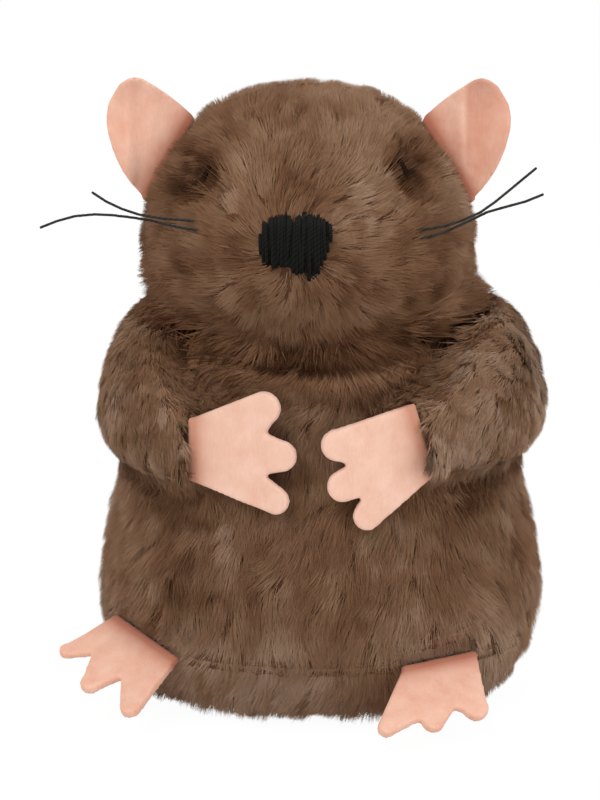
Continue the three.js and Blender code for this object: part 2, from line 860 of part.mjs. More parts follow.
// The groove in the side seam that the arm's root turns in
function shoulderGroove(arm) {
  const { centre, up, thick, tall } = armSection(arm, 0);
  const radius = thick + flexGap;
  const groove = new THREE.CylinderGeometry(radius, radius, 2 * (tall + flexGap), wellSides);
  const turned = new THREE.Quaternion().setFromUnitVectors(new THREE.Vector3(0, 1, 0), up);
  groove.applyQuaternion(turned);
  return solidOf(groove.translate(centre.x, centre.y, centre.z));
}

function handFrame(arm) {
  const { centre } = armSection(arm, 1);
  const yaw = THREE.MathUtils.degToRad(arm.handYaw);
  const dip = THREE.MathUtils.degToRad(arm.handDip);
  const out = new THREE.Vector3(-arm.way * Math.cos(yaw), -Math.sin(yaw), 0);
  const along = new THREE.Vector3(0, 0, 1);
  const facing = new THREE.Vector3().crossVectors(out, along);
  out.applyAxisAngle(facing, -dip);
  along.applyAxisAngle(facing, -dip);
  return seamFrame(centre, out, along);
}

function handSlot(arm) {
  const bend = arm.way < 0 ? [-handInward, handOutward] : [-handOutward, handInward];
  return bendingSlot(handFrame(arm), arm.rootHalf, ...bend, handLength);
}

function armPieces(arm) {
  const whole = cutBy(armForm(arm, 0, 0, 1, armRings), torsoRoom, sweptHead, handSlot(arm));
  const cavity = armForm(arm, sleeveWall, ...armCavityShares, armRings - 2);
  const sleeve = cutBy(whole, cutBy(cavity, sleeveSweep));
  const wad = armForm(arm, sleeveWall + gap, ...armStuffingShares, armRings - 2);
  return {
    outer: cutBy(sleeve, bodySide(arm, gap / 2)),
    inner: sleeve.intersect(bodySide(arm, -gap / 2)),
    stuffing: cutBy(wad, torsoRoom, sleeveSweep, handSlot(arm)),
  };
}

// Feet: felt sewn into the seam between the belly and the base

const feet = {
  right: {
    way: -1, angle: 36.5, height: rightFootHeight, slope: -14, dip: 26,
    rootHalf: rightFootHalfWidth, shares: rightFootShares,
  },
  left: {
    way: 1, angle: 57.4, height: leftFootHeight, slope: 3, dip: 34,
    rootHalf: leftFootHalfWidth, shares: leftFootShares,
  },
};

function footFrame(foot) {
  const angle = THREE.MathUtils.degToRad(foot.angle);
  const slope = THREE.MathUtils.degToRad(foot.slope);
  const dip = THREE.MathUtils.degToRad(foot.dip);
  const section = sectionAt(torsoOutline, foot.height);
  const skin = skinPoint(section, angle);
  const outward = new THREE.Vector3(Math.cos(angle) / section.wide, -Math.sin(angle) / section.fore, 0);
  skin.x *= foot.way;
  outward.x *= foot.way;
  outward.normalize();
  const level = new THREE.Vector3(-outward.y, outward.x, 0);
  const along = level.multiplyScalar(Math.cos(slope));
  along.z = Math.sin(slope);
  const out = outward.clone().multiplyScalar(Math.cos(dip));
  out.z = -Math.sin(dip);
  return seamFrame(skin.addScaledVector(outward, -pawSink), out, along);
}

function footSlot(foot) {
  return bendingSlot(footFrame(foot), foot.rootHalf, -footDown, footUp, footLength);
}

// Materials

function plush(color) {
  return new THREE.MeshStandardMaterial({ color, roughness: 0.95, metalness: 0 });
}

function felt(color) {
  return new THREE.MeshStandardMaterial({ color, roughness: 0.9, metalness: 0 });
}

function thread(color) {
  return new THREE.MeshStandardMaterial({ color, roughness: 0.6, metalness: 0 });
}

function wadding(color) {
  return new THREE.MeshStandardMaterial({ color, roughness: 1, metalness: 0 });
}

// A piece is the largest body of its solid, without the crumbs that a cut can leave
function piece(name, solid, material) {
  const body = solid.decompose().reduce((most, next) => (next.volume() > most.volume() ? next : most));
  const mesh = new THREE.Mesh(geometryOf(body), material);
  mesh.name = name;
  return mesh;
}

function flap(name, solid, frame, material) {
  const mesh = piece(name, solid, material);
  mesh.applyMatrix4(frame);
  return mesh;
}

// Assembly

function torsoGroup() {
  const group = new THREE.Group();
  const slots = [feet.right, feet.left].map(footSlot);
  const grooves = [arms.right, arms.left].map(shoulderGroove);
  const skin = solidOf(torsoForm).intersect(side('z', 0, 1));
  const core = solidOf(swollen(torsoInner, -pileWall)).intersect(side('z', pileWall, 1));
  const shell = cutBy(skin, core, sweptHead, ...slots, ...grooves, closingGroove());
  const upper = shell.intersect(side('z', baseSeamHeight + gap / 2, 1));
  const back = upper.intersect(side('y', sideSeam + gap / 2, 1));
  const wad = solidOf(swollen(torsoInner, -pileWall - gap));
  const well = neckOpening(neckRingRadius + neckCord, headBottom - neckWellDepth, torsoHeight)
    .transform(new THREE.Matrix4().makeTranslation(headSide, headForward, 0).elements);
  const filling = cutBy(wad.intersect(side('z', pileWall + gap, 1)), sweptHead, well, pouchRoom());
  group.add(
    piece('base_cover', shell.intersect(side('z', baseSeamHeight - gap / 2, -1)), plush(0x6f5341)),
    piece('belly_cover', upper.intersect(side('y', sideSeam - gap / 2, -1)), plush(0x7c5e4b)),
    piece('back_cover_left', back.intersect(side('x', gap / 2, 1)), plush(0x785a47)),
    piece('back_cover_right', back.intersect(side('x', -gap / 2, -1)), plush(0x785a47)),
    piece('closing_thread', closingThread(), thread(0x4a3527)),
    piece('lower_stuffing', filling.intersect(side('z', pouchHeight - gap / 2, -1)), wadding(0xf2f0ea)),
    piece('upper_stuffing', filling.intersect(side('z', pouchHeight + gap / 2, 1)), wadding(0xf2f0ea)),
    piece('catnip_pouch_lower_sheet', pouchSheetForm(-1), wadding(0xe6e2d4)),
    piece('catnip_pouch_upper_sheet', pouchSheetForm(1), wadding(0xe6e2d4)),
    piece('catnip_filling', catnipForm(), wadding(0x7b7f4a)),
    flap('right_foot', pawFelt(feet.right, footLength, toeRadius), footFrame(feet.right), felt(0xf0b9a0)),
    flap('left_foot', pawFelt(feet.left, footLength, toeRadius), footFrame(feet.left), felt(0xf0b9a0)),
  );
  return group;
}

// The arm's hinge line in the side seam: its frame's Z axis runs up the seam
function armHinge(arm) {
  const { centre, outward, up } = armSection(arm, 0);
  const forward = new THREE.Vector3().crossVectors(up, outward);
  return new THREE.Matrix4().makeBasis(outward, forward, up).setPosition(centre);
}

function armGroup(label, arm) {
  const group = new THREE.Group();
  const hinge = armHinge(arm);
  const pieces = armPieces(arm);
  group.add(
    piece(`${label}_arm_outer_cover`, pieces.outer, plush(0x7e604d)),
    piece(`${label}_arm_inner_cover`, pieces.inner, plush(0x755845)),
    piece(`${label}_arm_stuffing`, pieces.stuffing, wadding(0xf2f0ea)),
    flap(`${label}_hand`, pawFelt(arm, handLength, fingerRadius), handFrame(arm), felt(0xefc3ae)),
  );
  group.children.forEach((child) => child.applyMatrix4(hinge.clone().invert()));
  group.applyMatrix4(hinge);
  return group;
}

function neckThread() {
  const ring = new THREE.TorusGeometry(neckRingRadius, neckCord / 2, cordSides, wellSides);
  const lift = headBottom - neckWellDepth + neckCord / 2 + gap;
  return piece('neck_gathering_thread', solidOf(ring.translate(0, 0, lift)), thread(0x4a3527));
}

function headGroup() {
  const group = new THREE.Group();
  const shell = headShell();
  const face = cutBy(shell.intersect(side('y', -gap / 2, -1)), eyeDent(-1), eyeDent(1));
  group.add(
    piece('face_cover', face, plush(0x80624f)),
    piece('head_back_cover', shell.intersect(side('y', gap / 2, 1)), plush(0x785a47)),
    piece('head_stuffing', cutBy(headStuffing(), eyeDent(-1), eyeDent(1)), wadding(0xf2f0ea)),
    piece('nose_embroidery', noseEmbroidery(), thread(0x191c20)),
    piece('right_eye_stitch', eyeForm(-1, eyeCentre(-1), 0), thread(0x17130f)),
    piece('left_eye_stitch', eyeForm(1, eyeCentre(1), 0), thread(0x17130f)),
    piece('eye_tie_thread', eyeTie(sewingThread), thread(0x17130f)),
    piece('upper_whisker_thread', whiskerThreadForm(...whiskers.upper, whiskerThread), thread(0x26262a)),
    piece('lower_whisker_thread', whiskerThreadForm(...whiskers.lower, whiskerThread), thread(0x26262a)),
    flap('right_ear', earFelt(-1), earFrame(-1), felt(0xefb49c)),
    flap('left_ear', earFelt(1), earFrame(1), felt(0xefb49c)),
    neckThread(),
  );
  group.position.set(headSide, headForward, 0);
  group.rotation.z = headTurn;
  return group;
}

const toy = new THREE.Group();
toy.add(torsoGroup(), armGroup('right', arms.right), armGroup('left', arms.left), headGroup());

export default toy;
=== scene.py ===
# A small plush mole, a stuffed toy for cats: fur fabric, felt, thread and stuffing.
# Metres, +Z up, the toy looks along -Y. Left and right are the toy's own sides.

import json
import math

import bmesh
import bpy
import numpy as np
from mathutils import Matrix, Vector
from mathutils.bvhtree import BVHTree
from mathutils.kdtree import KDTree


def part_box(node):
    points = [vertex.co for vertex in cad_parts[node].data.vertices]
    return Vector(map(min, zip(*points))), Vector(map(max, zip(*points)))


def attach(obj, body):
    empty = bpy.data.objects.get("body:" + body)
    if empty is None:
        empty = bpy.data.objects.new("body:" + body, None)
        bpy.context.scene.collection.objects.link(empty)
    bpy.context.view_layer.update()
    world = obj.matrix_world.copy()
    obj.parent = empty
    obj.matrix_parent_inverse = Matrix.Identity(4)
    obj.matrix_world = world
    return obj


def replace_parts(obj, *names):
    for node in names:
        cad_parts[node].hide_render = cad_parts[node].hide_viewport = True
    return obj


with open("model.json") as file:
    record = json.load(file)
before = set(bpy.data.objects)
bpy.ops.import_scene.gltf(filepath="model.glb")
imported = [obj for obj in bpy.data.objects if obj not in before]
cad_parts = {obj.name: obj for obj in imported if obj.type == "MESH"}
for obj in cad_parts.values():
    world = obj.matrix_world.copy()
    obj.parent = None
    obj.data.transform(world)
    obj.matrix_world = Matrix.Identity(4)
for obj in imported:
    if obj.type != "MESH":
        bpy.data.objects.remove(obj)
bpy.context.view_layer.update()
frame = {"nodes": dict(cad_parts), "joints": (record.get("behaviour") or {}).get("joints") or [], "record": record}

mm = 0.001

bodyOf = {node: body for body, nodes in frame["record"]["behaviour"]["bodies"].items() for node in nodes}


# Small helpers

def linearColour(hexCode):
    channels = [int(hexCode[i:i + 2], 16) / 255 for i in (1, 3, 5)]
    return [c / 12.92 if c <= 0.04045 else ((c + 0.055) / 1.055) ** 2.4 for c in channels] + [1]


# Adds a node: inputs take a value or another node's output, settings are its own properties
def addNode(tree, kind, inputs=None, **settings):
    node = tree.nodes.new("ShaderNode" + kind)
    for name, value in settings.items():
        setattr(node, name, value)
    for socket, value in (inputs or {}).items():
        if isinstance(value, bpy.types.NodeSocket):
            tree.links.new(value, node.inputs[socket])
        else:
            node.inputs[socket].default_value = value
    return node


def newMaterial(name):
    material = bpy.data.materials.new(name)
    material.use_nodes = True
    material.node_tree.nodes.clear()
    return material, material.node_tree


# Smooth random numbers of about -1 to 1 that change over the given length
def ripples(points, length, seed):
    random = np.random.default_rng(seed)
    total = np.zeros(len(points))
    for _ in range(7):
        way = random.normal(size=3)
        way *= 2 * math.pi / length * random.uniform(0.5, 1.4) / np.linalg.norm(way)
        total += np.sin(points @ way + random.uniform(0, 2 * math.pi))
    return np.clip(total / 2.6, -1.2, 1.2)


def unit(vectors):
    return vectors / np.maximum(np.linalg.norm(vectors, axis=-1, keepdims=True), 1e-12)


def pointsOf(mesh):
    flat = np.zeros(len(mesh.vertices) * 3)
    mesh.vertices.foreach_get("co", flat)
    return flat.reshape(-1, 3)


def setPoints(mesh, points):
    mesh.vertices.foreach_set("co", points.ravel())
    mesh.update()


def normalsOf(mesh):
    flat = np.zeros(len(mesh.vertices) * 3)
    mesh.vertex_normals.foreach_get("vector", flat)
    return flat.reshape(-1, 3)


# Puts a finished mesh into the scene as a piece that rides on a body
def addPiece(name, mesh, material, body):
    piece = bpy.data.objects.new(name, mesh)
    bpy.context.scene.collection.objects.link(piece)
    mesh.materials.clear()
    mesh.materials.append(material)
    mesh.polygons.foreach_set("use_smooth", [True] * len(mesh.polygons))
    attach(piece, body)
    return piece


# The same form with even faces, smoothed
def evened(mesh, voxel, smoothing):
    holder = bpy.data.objects.new("holder", mesh)
    bpy.context.scene.collection.objects.link(holder)
    remesh = holder.modifiers.new("remesh", "REMESH")
    remesh.mode = "VOXEL"
    remesh.voxel_size = voxel
    graph = bpy.context.evaluated_depsgraph_get()
    even = bpy.data.meshes.new_from_object(holder.evaluated_get(graph))
    bpy.data.objects.remove(holder)
    form = bmesh.new()
    form.from_mesh(even)
    for _ in range(smoothing):
        bmesh.ops.smooth_vert(
            form, verts=form.verts, factor=0.5,
            use_axis_x=True, use_axis_y=True, use_axis_z=True)
    form.to_mesh(even)
    form.free()
    return even


# An even copy of CAD nodes' meshes, merged first
def evenCopy(nodes, voxel, smoothing):
    form = bmesh.new()
    for node in nodes:
        form.from_mesh(frame["nodes"][node].data)
    bmesh.ops.remove_doubles(form, verts=form.verts, dist=0.005 * mm)
    mesh = bpy.data.meshes.new(nodes[0])
    form.to_mesh(mesh)
    form.free()
    return evened(mesh, voxel, smoothing)


# Keeps the outer shell of a mesh and drops the ones inside it
def outerShell(mesh):
    form = bmesh.new()
    form.from_mesh(mesh)
    shells = []
    left = set(form.verts)
    while left:
        shell = {left.pop()}
        edge = list(shell)
        while edge:
            fresh = {e.other_vert(v) for v in edge for e in v.link_edges} & left
            left -= fresh
            shell |= fresh
            edge = list(fresh)
        shells.append(shell)
    largest = max(shells, key=len)
    bmesh.ops.delete(form, geom=[v for v in form.verts if v not in largest], context="VERTS")
    form.to_mesh(mesh)
    tree = BVHTree.FromBMesh(form)
    form.free()
    return mesh, tree


def treeOf(*nodes):
    form = bmesh.new()
    for node in nodes:
        form.from_mesh(frame["nodes"][node].data)
    tree = BVHTree.FromBMesh(form)
    form.free()
    return tree


# Materials

plushLooks = {
    "tones": [(0.0, "#22130a"), (0.22, "#4c2e1a"), (0.5, "#7f5a40"), (0.78, "#98755a"), (1.0, "#b3937b")],
    "rootShade": 0.8,
    "roughness": 0.8,
    "backing": ("#4a3020", "#6b4a36"),
}


# Acrylic plush pile: a matte fibre whose root lies in shade, so streaks of dark and light show.
# Each strand's own tone is the U of its map and the way from root to tip is the V.
def plushPile():
    material, tree = newMaterial("acrylic_plush_pile")
    place = addNode(tree, "UVMap", uv_map="OFBake")
    parts = addNode(tree, "SeparateXYZ", {0: place.outputs[0]})
    ramp = addNode(tree, "ValToRGB", {0: parts.outputs[0]})
    stops = ramp.color_ramp.elements
    while len(stops) < len(plushLooks["tones"]):
        stops.new(0.5)
    for stop, (level, colour) in zip(stops, plushLooks["tones"]):
        stop.position = level
        stop.color = linearColour(colour)
    rise = addNode(tree, "MapRange", {
        0: parts.outputs[1], 1: 0.0, 2: 0.75, 3: plushLooks["rootShade"], 4: 1.0},
        interpolation_type="SMOOTHSTEP")
    shaded = addNode(tree, "VectorMath", {0: ramp.outputs[0], "Scale": rise.outputs[0]}, operation="SCALE")
    shader = addNode(tree, "BsdfPrincipled", {
        "Base Color": shaded.outputs[0], "Roughness": plushLooks["roughness"], "Specular IOR Level": 0.12})
    addNode(tree, "OutputMaterial", {0: shader.outputs[0]})
    return material


# Knitted backing with the pile's cut roots: dark, matte and finely uneven
def plushBacking():
    material, tree = newMaterial("knitted_plush_backing")
    place = addNode(tree, "TexCoord")
    low, high = (linearColour(colour) for colour in plushLooks["backing"])
    grain = addNode(tree, "TexNoise", {"Vector": place.outputs["Object"], "Scale": 1400.0, "Detail": 2.0})
    colour = addNode(tree, "Mix", {0: grain.outputs[0], 6: low, 7: high}, data_type="RGBA")
    bump = addNode(tree, "Bump", {"Height": grain.outputs[0], "Strength": 0.6, "Distance": 0.2 * mm})
    shader = addNode(tree, "BsdfPrincipled", {
        "Base Color": colour.outputs[2], "Roughness": 0.95, "Specular IOR Level": 0.1,
        "Normal": bump.outputs[0]})
    addNode(tree, "OutputMaterial", {0: shader.outputs[0]})
    return material


# Needle-punched felt: short fibres pressed every way give it a soft mottle and no shine.
# An attribute mixes in a darker, warmer colour: painted shade where the felt goes into its seam and in the cup of
# an ear.
def needledFelt(name, pale, deep, seam):
    material, tree = newMaterial(name)
    place = addNode(tree, "TexCoord")
    mottle = addNode(tree, "TexNoise", {"Vector": place.outputs["Object"], "Scale": 420.0, "Detail": 3.0})
    stretch = addNode(tree, "Mapping", {0: place.outputs["Object"], "Scale": (1.0, 1.0, 0.22)})
    fibre = addNode(tree, "TexNoise", {
        "Vector": stretch.outputs[0], "Scale": 3600.0, "Detail": 3.0, "Roughness": 0.7, "Distortion": 1.2})
    mixed = addNode(tree, "Math", {
        0: fibre.outputs[0], 1: 0.65, 2: mottle.outputs[0]}, operation="MULTIPLY_ADD")
    share = addNode(tree, "MapRange", {0: mixed.outputs[0], 1: 0.55, 2: 1.1, 3: 0.0, 4: 1.0})
    cloth = addNode(tree, "Mix", {
        0: share.outputs[0], 6: linearColour(deep), 7: linearColour(pale)}, data_type="RGBA")
    fold = addNode(tree, "Attribute", attribute_name="paintedFeltShade")
    colour = addNode(tree, "Mix", {
        0: fold.outputs["Fac"], 6: cloth.outputs[2], 7: linearColour(seam)}, data_type="RGBA")
    bump = addNode(tree, "Bump", {"Height": fibre.outputs[0], "Strength": 0.5, "Distance": 0.08 * mm})
    shader = addNode(tree, "BsdfPrincipled", {
        "Base Color": colour.outputs[2], "Roughness": 0.92, "Specular IOR Level": 0.15,
        "Sheen Weight": 0.15, "Sheen Roughness": 0.6, "Normal": bump.outputs[0]})
    addNode(tree, "OutputMaterial", {0: shader.outputs[0]})
    return material


# Twisted thread: slanting bands where its plies lie against each other
def twistedThread(name, pale, deep, roughness, specular, pitch):
    material, tree = newMaterial(name)
    place = addNode(tree, "TexCoord")
    turn = addNode(tree, "Mapping", {0: place.outputs["Object"], "Rotation": (0.5, 0.6, 0.4)})
    ply = addNode(tree, "TexWave", {
        "Vector": turn.outputs[0], "Scale": 0.314 / pitch, "Distortion": 1.5, "Detail": 1.0},
        bands_direction="Z")
    colour = addNode(tree, "Mix", {
        0: ply.outputs[1], 6: linearColour(deep), 7: linearColour(pale)}, data_type="RGBA")
    bump = addNode(tree, "Bump", {"Height": ply.outputs[1], "Strength": 0.5, "Distance": 0.06 * mm})
    shader = addNode(tree, "BsdfPrincipled", {
        "Base Color": colour.outputs[2], "Roughness": roughness, "Specular IOR Level": specular,
        "Normal": bump.outputs[0]})
    addNode(tree, "OutputMaterial", {0: shader.outputs[0]})
    return material


# Loose fibre, nonwoven cloth and dried leaf: broken tones at two sizes
def loosePieces(name, pale, deep, grain):
    material, tree = newMaterial(name)
    place = addNode(tree, "TexCoord")
    coarse = addNode(tree, "TexNoise", {
        "Vector": place.outputs["Object"], "Scale": 0.5 / grain, "Detail": 4.0, "Roughness": 0.65,
        "Distortion": 0.8})
    share = addNode(tree, "MapRange", {0: coarse.outputs[0], 1: 0.35, 2: 0.65, 3: 0.0, 4: 1.0})
    colour = addNode(tree, "Mix", {
        0: share.outputs[0], 6: linearColour(deep), 7: linearColour(pale)}, data_type="RGBA")
    bump = addNode(tree, "Bump", {"Height": coarse.outputs[0], "Strength": 0.7, "Distance": 0.3 * mm})
    shader = addNode(tree, "BsdfPrincipled", {
        "Base Color": colour.outputs[2], "Roughness": 0.97, "Specular IOR Level": 0.1,
        "Normal": bump.outputs[0]})
    addNode(tree, "OutputMaterial", {0: shader.outputs[0]})
    return material


pile = plushPile()
backing = plushBacking()
# The last colour of each felt is its painted shade
handFelt = needledFelt("needled_felt_pink", "#e7bfab", "#dcac96", "#b97a60")
limbFelt = needledFelt("needled_felt_peach", "#eec0a9", "#e2a78e", "#a85c40")
noseThread = twistedThread("cotton_embroidery_thread", "#171715", "#0e0e0d", 0.8, 0.08, 0.45 * mm)
eyeThread = twistedThread("cotton_sewing_thread_black", "#2a1a10", "#180e08", 0.75, 0.04, 0.3 * mm)
seamThread = twistedThread("cotton_sewing_thread_brown", "#5a4231", "#34251a", 0.75, 0.2, 0.3 * mm)
whiskerWax = twistedThread("waxed_linen_thread", "#2c2a27", "#141311", 0.6, 0.2, 0.5 * mm)
wadding = loosePieces("polyester_wadding", "#f4f2ec", "#d5d1c6", 1.2 * mm)
pouchCloth = loosePieces("nonwoven_polypropylene", "#ebe6d8", "#cfc8b6", 0.5 * mm)
catnipLeaf = loosePieces("dried_catnip_leaf", "#8b8f57", "#4c5130", 0.6 * mm)
print("materials are ready")


# Camera: straight in front and 12 degrees above the level, as the photograph was taken

cameraLooks = {"distance": 420 * mm, "elevation": 12, "target": (-2.66 * mm, 0, 38.4 * mm), "lens": 145.4}

lens = bpy.data.cameras.new("camera")
lens.lens = cameraLooks["lens"]
lens.clip_start = 10 * mm
camera = bpy.data.objects.new("camera", lens)
bpy.context.scene.collection.objects.link(camera)
slope = math.radians(cameraLooks["elevation"])
backward = Vector((0, -math.cos(slope), math.sin(slope)))
camera.location = Vector(cameraLooks["target"]) + cameraLooks["distance"] * backward
camera.rotation_euler = (math.pi / 2 - slope, 0, 0)
bpy.context.scene.camera = camera


# Covers: the stuffed panels' backing, set in from the CAD skin by the depth of the pile

coverLooks = {
    "voxel": 0.7 * mm,
    "depths": {"torso": 1.9 * mm, "head": 1.8 * mm, "right_arm": 0.9 * mm, "left_arm": 0.9 * mm},
    "underside": 0.5 * mm,
    "touching": 0.3,
    "depthShare": 0.6,
    "below": 0.3 * mm,
    "belowEyes": 1.5 * mm,
    "clearOf": (0.8 * mm, 4.0 * mm),
}
covers = {
    "torso": ["base_cover", "belly_cover", "back_cover_left", "back_cover_right"],
    "head": ["face_cover", "head_back_cover"],
    "right_arm": ["right_arm_outer_cover", "right_arm_inner_cover"],
    "left_arm": ["left_arm_outer_cover", "left_arm_inner_cover"],
}
stuffings = {
    "torso": ["lower_stuffing", "upper_stuffing"],
    "head": ["head_stuffing"],
    "right_arm": ["right_arm_stuffing"],
    "left_arm": ["left_arm_stuffing"],
}
bodyTrees = {body: treeOf(*covers[body]) for body in covers}


# How far a point lies from a closed form, less than nothing inside it
def clearance(tree, point, reach):
    spot, normal, _, distance = tree.find_nearest(point, reach)
    if spot is None:
        return reach
    return distance if (point - spot).dot(normal) > 0 else -distance


# The stitches that draw the eyes in, and the hollows round them
eyeLooks = {"slant": 24, "length": 3.6 * mm, "radius": 0.2 * mm, "pitch": 0.28 * mm, "sink": 1.9 * mm,
            "halfWidth": 1.15, "halfLength": 2.2,
            "shifts": {"right_eye_stitch": (-0.9, 0.4, -0.3), "left_eye_stitch": (0.9, 0.4, 0.6)}}
eyes = [(sum(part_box(node), Vector()) / 2 + Vector(shift) * mm,
         math.radians(eyeLooks["slant"]) * -np.sign(shift[0]))
        for node, shift in eyeLooks["shifts"].items()]


# How near a point of the face lies to a drawn-in eye, from 0 to 1
def eyeHollow(points):
    total = np.zeros(len(points))
    for middle, slant in eyes:
        x = (points[:, 0] - middle.x) / mm
        z = (points[:, 2] - middle.z) / mm
        across = (x * math.cos(slant) - z * math.sin(slant)) / eyeLooks["halfWidth"]
        upward = (x * math.sin(slant) + z * math.cos(slant)) / eyeLooks["halfLength"]
        total += np.exp(-(across ** 2 + upward ** 2) / 2) * (points[:, 1] < 0)
    return total


# The pile is as deep as its body's, but shallow where two bodies touch and on the underside
def pileDepth(body, points, normals):
    others = [tree for name, tree in bodyTrees.items() if name != body]
    near, far = coverLooks["clearOf"]
    share = np.zeros(len(points))
    for i, point in enumerate(points):
        clear = min(clearance(tree, Vector(point), far) for tree in others)
        share[i] = np.clip((clear - near) / (far - near), coverLooks["touching"], 1)
    under = np.clip((-normals[:, 2] - 0.6) / 0.3, 0, 1) * (points[:, 2] < 3 * mm)
    depth = coverLooks["depths"][body] * share * (1 - under) + coverLooks["underside"] * under
    if body == "head":
        depth *= 1 - 0.6 * eyeHollow(points)
    return depth, share


# How much a point lies on the outside of its stuffed form, from 0 to 1
def outsideShare(mesh, body):
    points = pointsOf(mesh)
    normals = normalsOf(mesh)
    solid = treeOf(*covers[body], *stuffings[body])
    outside = np.zeros(len(points))
    for i, (point, normal) in enumerate(zip(points, normals)):
        hit = solid.ray_cast(Vector(point + normal * 0.12 * mm), Vector(normal), 6 * mm)
        outside[i] = hit[0] is None
    edges = np.zeros(len(mesh.edges) * 2, int)
    mesh.edges.foreach_get("vertices", edges)
    edges = edges.reshape(-1, 2)
    for _ in range(3):
        total = np.zeros(len(points))
        count = np.zeros(len(points))
        for here, there in ((0, 1), (1, 0)):
            np.add.at(total, edges[:, here], outside[edges[:, there]])
            np.add.at(count, edges[:, here], 1)
        outside = 0.5 * outside + 0.5 * total / np.maximum(count, 1)
    # A rim sinks as deep as the rest, so that no backing shows along a seam
    return np.clip(2 * outside, 0, 1)


for body, nodes in covers.items():
    for node in nodes:
        mesh, _ = outerShell(evenCopy([node], coverLooks["voxel"], 4))
        points = pointsOf(mesh)
        normals = normalsOf(mesh)
        depth, _ = pileDepth(body, points, normals)
        depth *= coverLooks["depthShare"]
        depth += coverLooks["below"] + coverLooks["belowEyes"] * eyeHollow(points) * (body == "head")
        setPoints(mesh, points - normals * (outsideShare(mesh, body) * depth)[:, None])
        piece = addPiece(node + "_backing", mesh, backing, body)
        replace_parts(piece, node)
print("covers are ready")


# Pile: straight tapered strands that stand in the backing, combed and drawn into locks

pileLooks = {
    "perSquareMm": 26.0,
    "length": {"torso": 4.4 * mm, "head": 3.8 * mm, "right_arm": 3.2 * mm, "left_arm": 3.2 * mm},
    "crowding": {"torso": 1.0, "head": 1.0, "right_arm": 1.3, "left_arm": 1.3},
    "width": 0.2 * mm,
    "flatness": 0.5,
    "softness": 0.82,
    "lockSize": 1.7 * mm,
    "lockPull": 0.45,
    "creaseFill": 3.2 * mm,
    "rootSink": 0.2 * mm,
    "rise": 0.1 * mm,
    "lockRise": 0.12 * mm,
    "floorGap": 0.25 * mm,
    "tone": 0.54,
    "mostInPiece": 48000,
    # Painted shade spots under the chin, where the left arm meets the head and under the left cuff: middle x and
    # z, half width and half height in mm, strength
    "paintedShadeSpots": [(-2.4, 48.4, 2.8, 1.5, 0.26), (17.1, 52.0, 3.5, 1.8, 0.2), (17.1, 31.0, 3.0, 1.6, 0.3)],
}

noseLow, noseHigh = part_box("nose_embroidery")
noseMiddle = (noseLow + noseHigh) / 2
mouth = np.array([noseMiddle.x, noseMiddle.y + 5 * mm, noseMiddle.z - 1.5 * mm])


# The strand that all others are copies of: three sides, a closed root and a point
def strandTemplate():
    form = bmesh.new()
    bmesh.ops.create_cone(form, cap_ends=True, segments=3, radius1=1, radius2=0, depth=1)
    bmesh.ops.translate(form, verts=form.verts, vec=(0, 0, 0.5))
    bmesh.ops.remove_doubles(form, verts=form.verts, dist=1e-4)
    bmesh.ops.triangulate(form, faces=form.faces)
    bmesh.ops.recalc_face_normals(form, faces=form.faces)
    form.verts.index_update()
    points = np.array([v.co for v in form.verts])
    faces = np.array([[v.index for v in f.verts] for f in form.faces])
    form.free()
    return points, faces


# Which way the pile is combed at a point of each body, and how far it swirls
def combing(body, points):
    if body == "head":
        towards = unit(points - mouth)
        behind = np.clip((points[:, 1] + 4 * mm) / (12 * mm), 0, 1)[:, None]
        return towards * (1 - behind) + np.array([0, 0.3, -1]) * behind, math.radians(26)
    if body == "torso":
        towards = np.tile([-0.4, 0.0, -1.0], (len(points), 1))
        towards[:, 0] += 0.5 * np.clip(points[:, 0] / (25 * mm), 0, 1)
        return towards, math.radians(28)
    way = 1 if body == "left_arm" else -1
    sleeve = np.stack([way * points[:, 1], -way * points[:, 0], 0 * points[:, 0]], axis=1)
    return unit(sleeve) + np.array([0, 0, -1.2]), math.radians(24)


# Painted light and shade in the pile's tone: lighter low on the torso, on the chest, at the sides, on the back, on
# the forehead and on the arms, the left arm more; one side of the head lighter than the other and its lower front
# a little darker; darker in the painted shade spots
def paintedLightTone(body, points):
    x, y, z = points.T / mm
    spotShade = sum(strength * np.exp(-((x - across) / wide) ** 2 - ((z - height) / tall) ** 2) * (y < 0)
                 for across, height, wide, tall, strength in pileLooks["paintedShadeSpots"])
    if body == "torso":
        low = np.clip((20 - z) / 8, 0, 1)
        sides = 0.2 * np.clip((-x - 18) / 6, 0, 1) + 0.06 * np.clip((x - 18) / 6, 0, 1)
        chest = np.exp(-((z - 42) / 6) ** 2) * (y < 0)
        return 0.26 * low + 0.07 * chest + 0.08 * (y > 0) + sides + 0.04 - spotShade
    if body == "head":
        high = np.clip((z - 62) / 8, 0, 1)
        return 0.12 * high - 0.03 * (1 - high) * (y < 0) + 0.07 * np.clip(x / 12, -1, 1) + 0.03 - spotShade
    return (0.2 if body == "right_arm" else 0.32) - spotShade


strandPoints, strandFaces = strandTemplate()
ears = treeOf("right_ear", "left_ear")
obstacles = treeOf("right_hand", "left_hand", "right_foot", "left_foot", "right_ear", "left_ear",
                   "nose_embroidery")


# The whole toy's skin with the creases between its bodies filled, that the pile near a crease lies on
def filledSkin():
    mesh = evenCopy([node for body in covers for node in covers[body] + stuffings[body]], 1.0 * mm, 2)
    setPoints(mesh, pointsOf(mesh) + normalsOf(mesh) * pileLooks["creaseFill"])
    mesh, _ = outerShell(evened(mesh, 1.0 * mm, 3))
    setPoints(mesh, pointsOf(mesh) - normalsOf(mesh) * pileLooks["creaseFill"])
    return outerShell(mesh)[1]


filled = filledSkin()


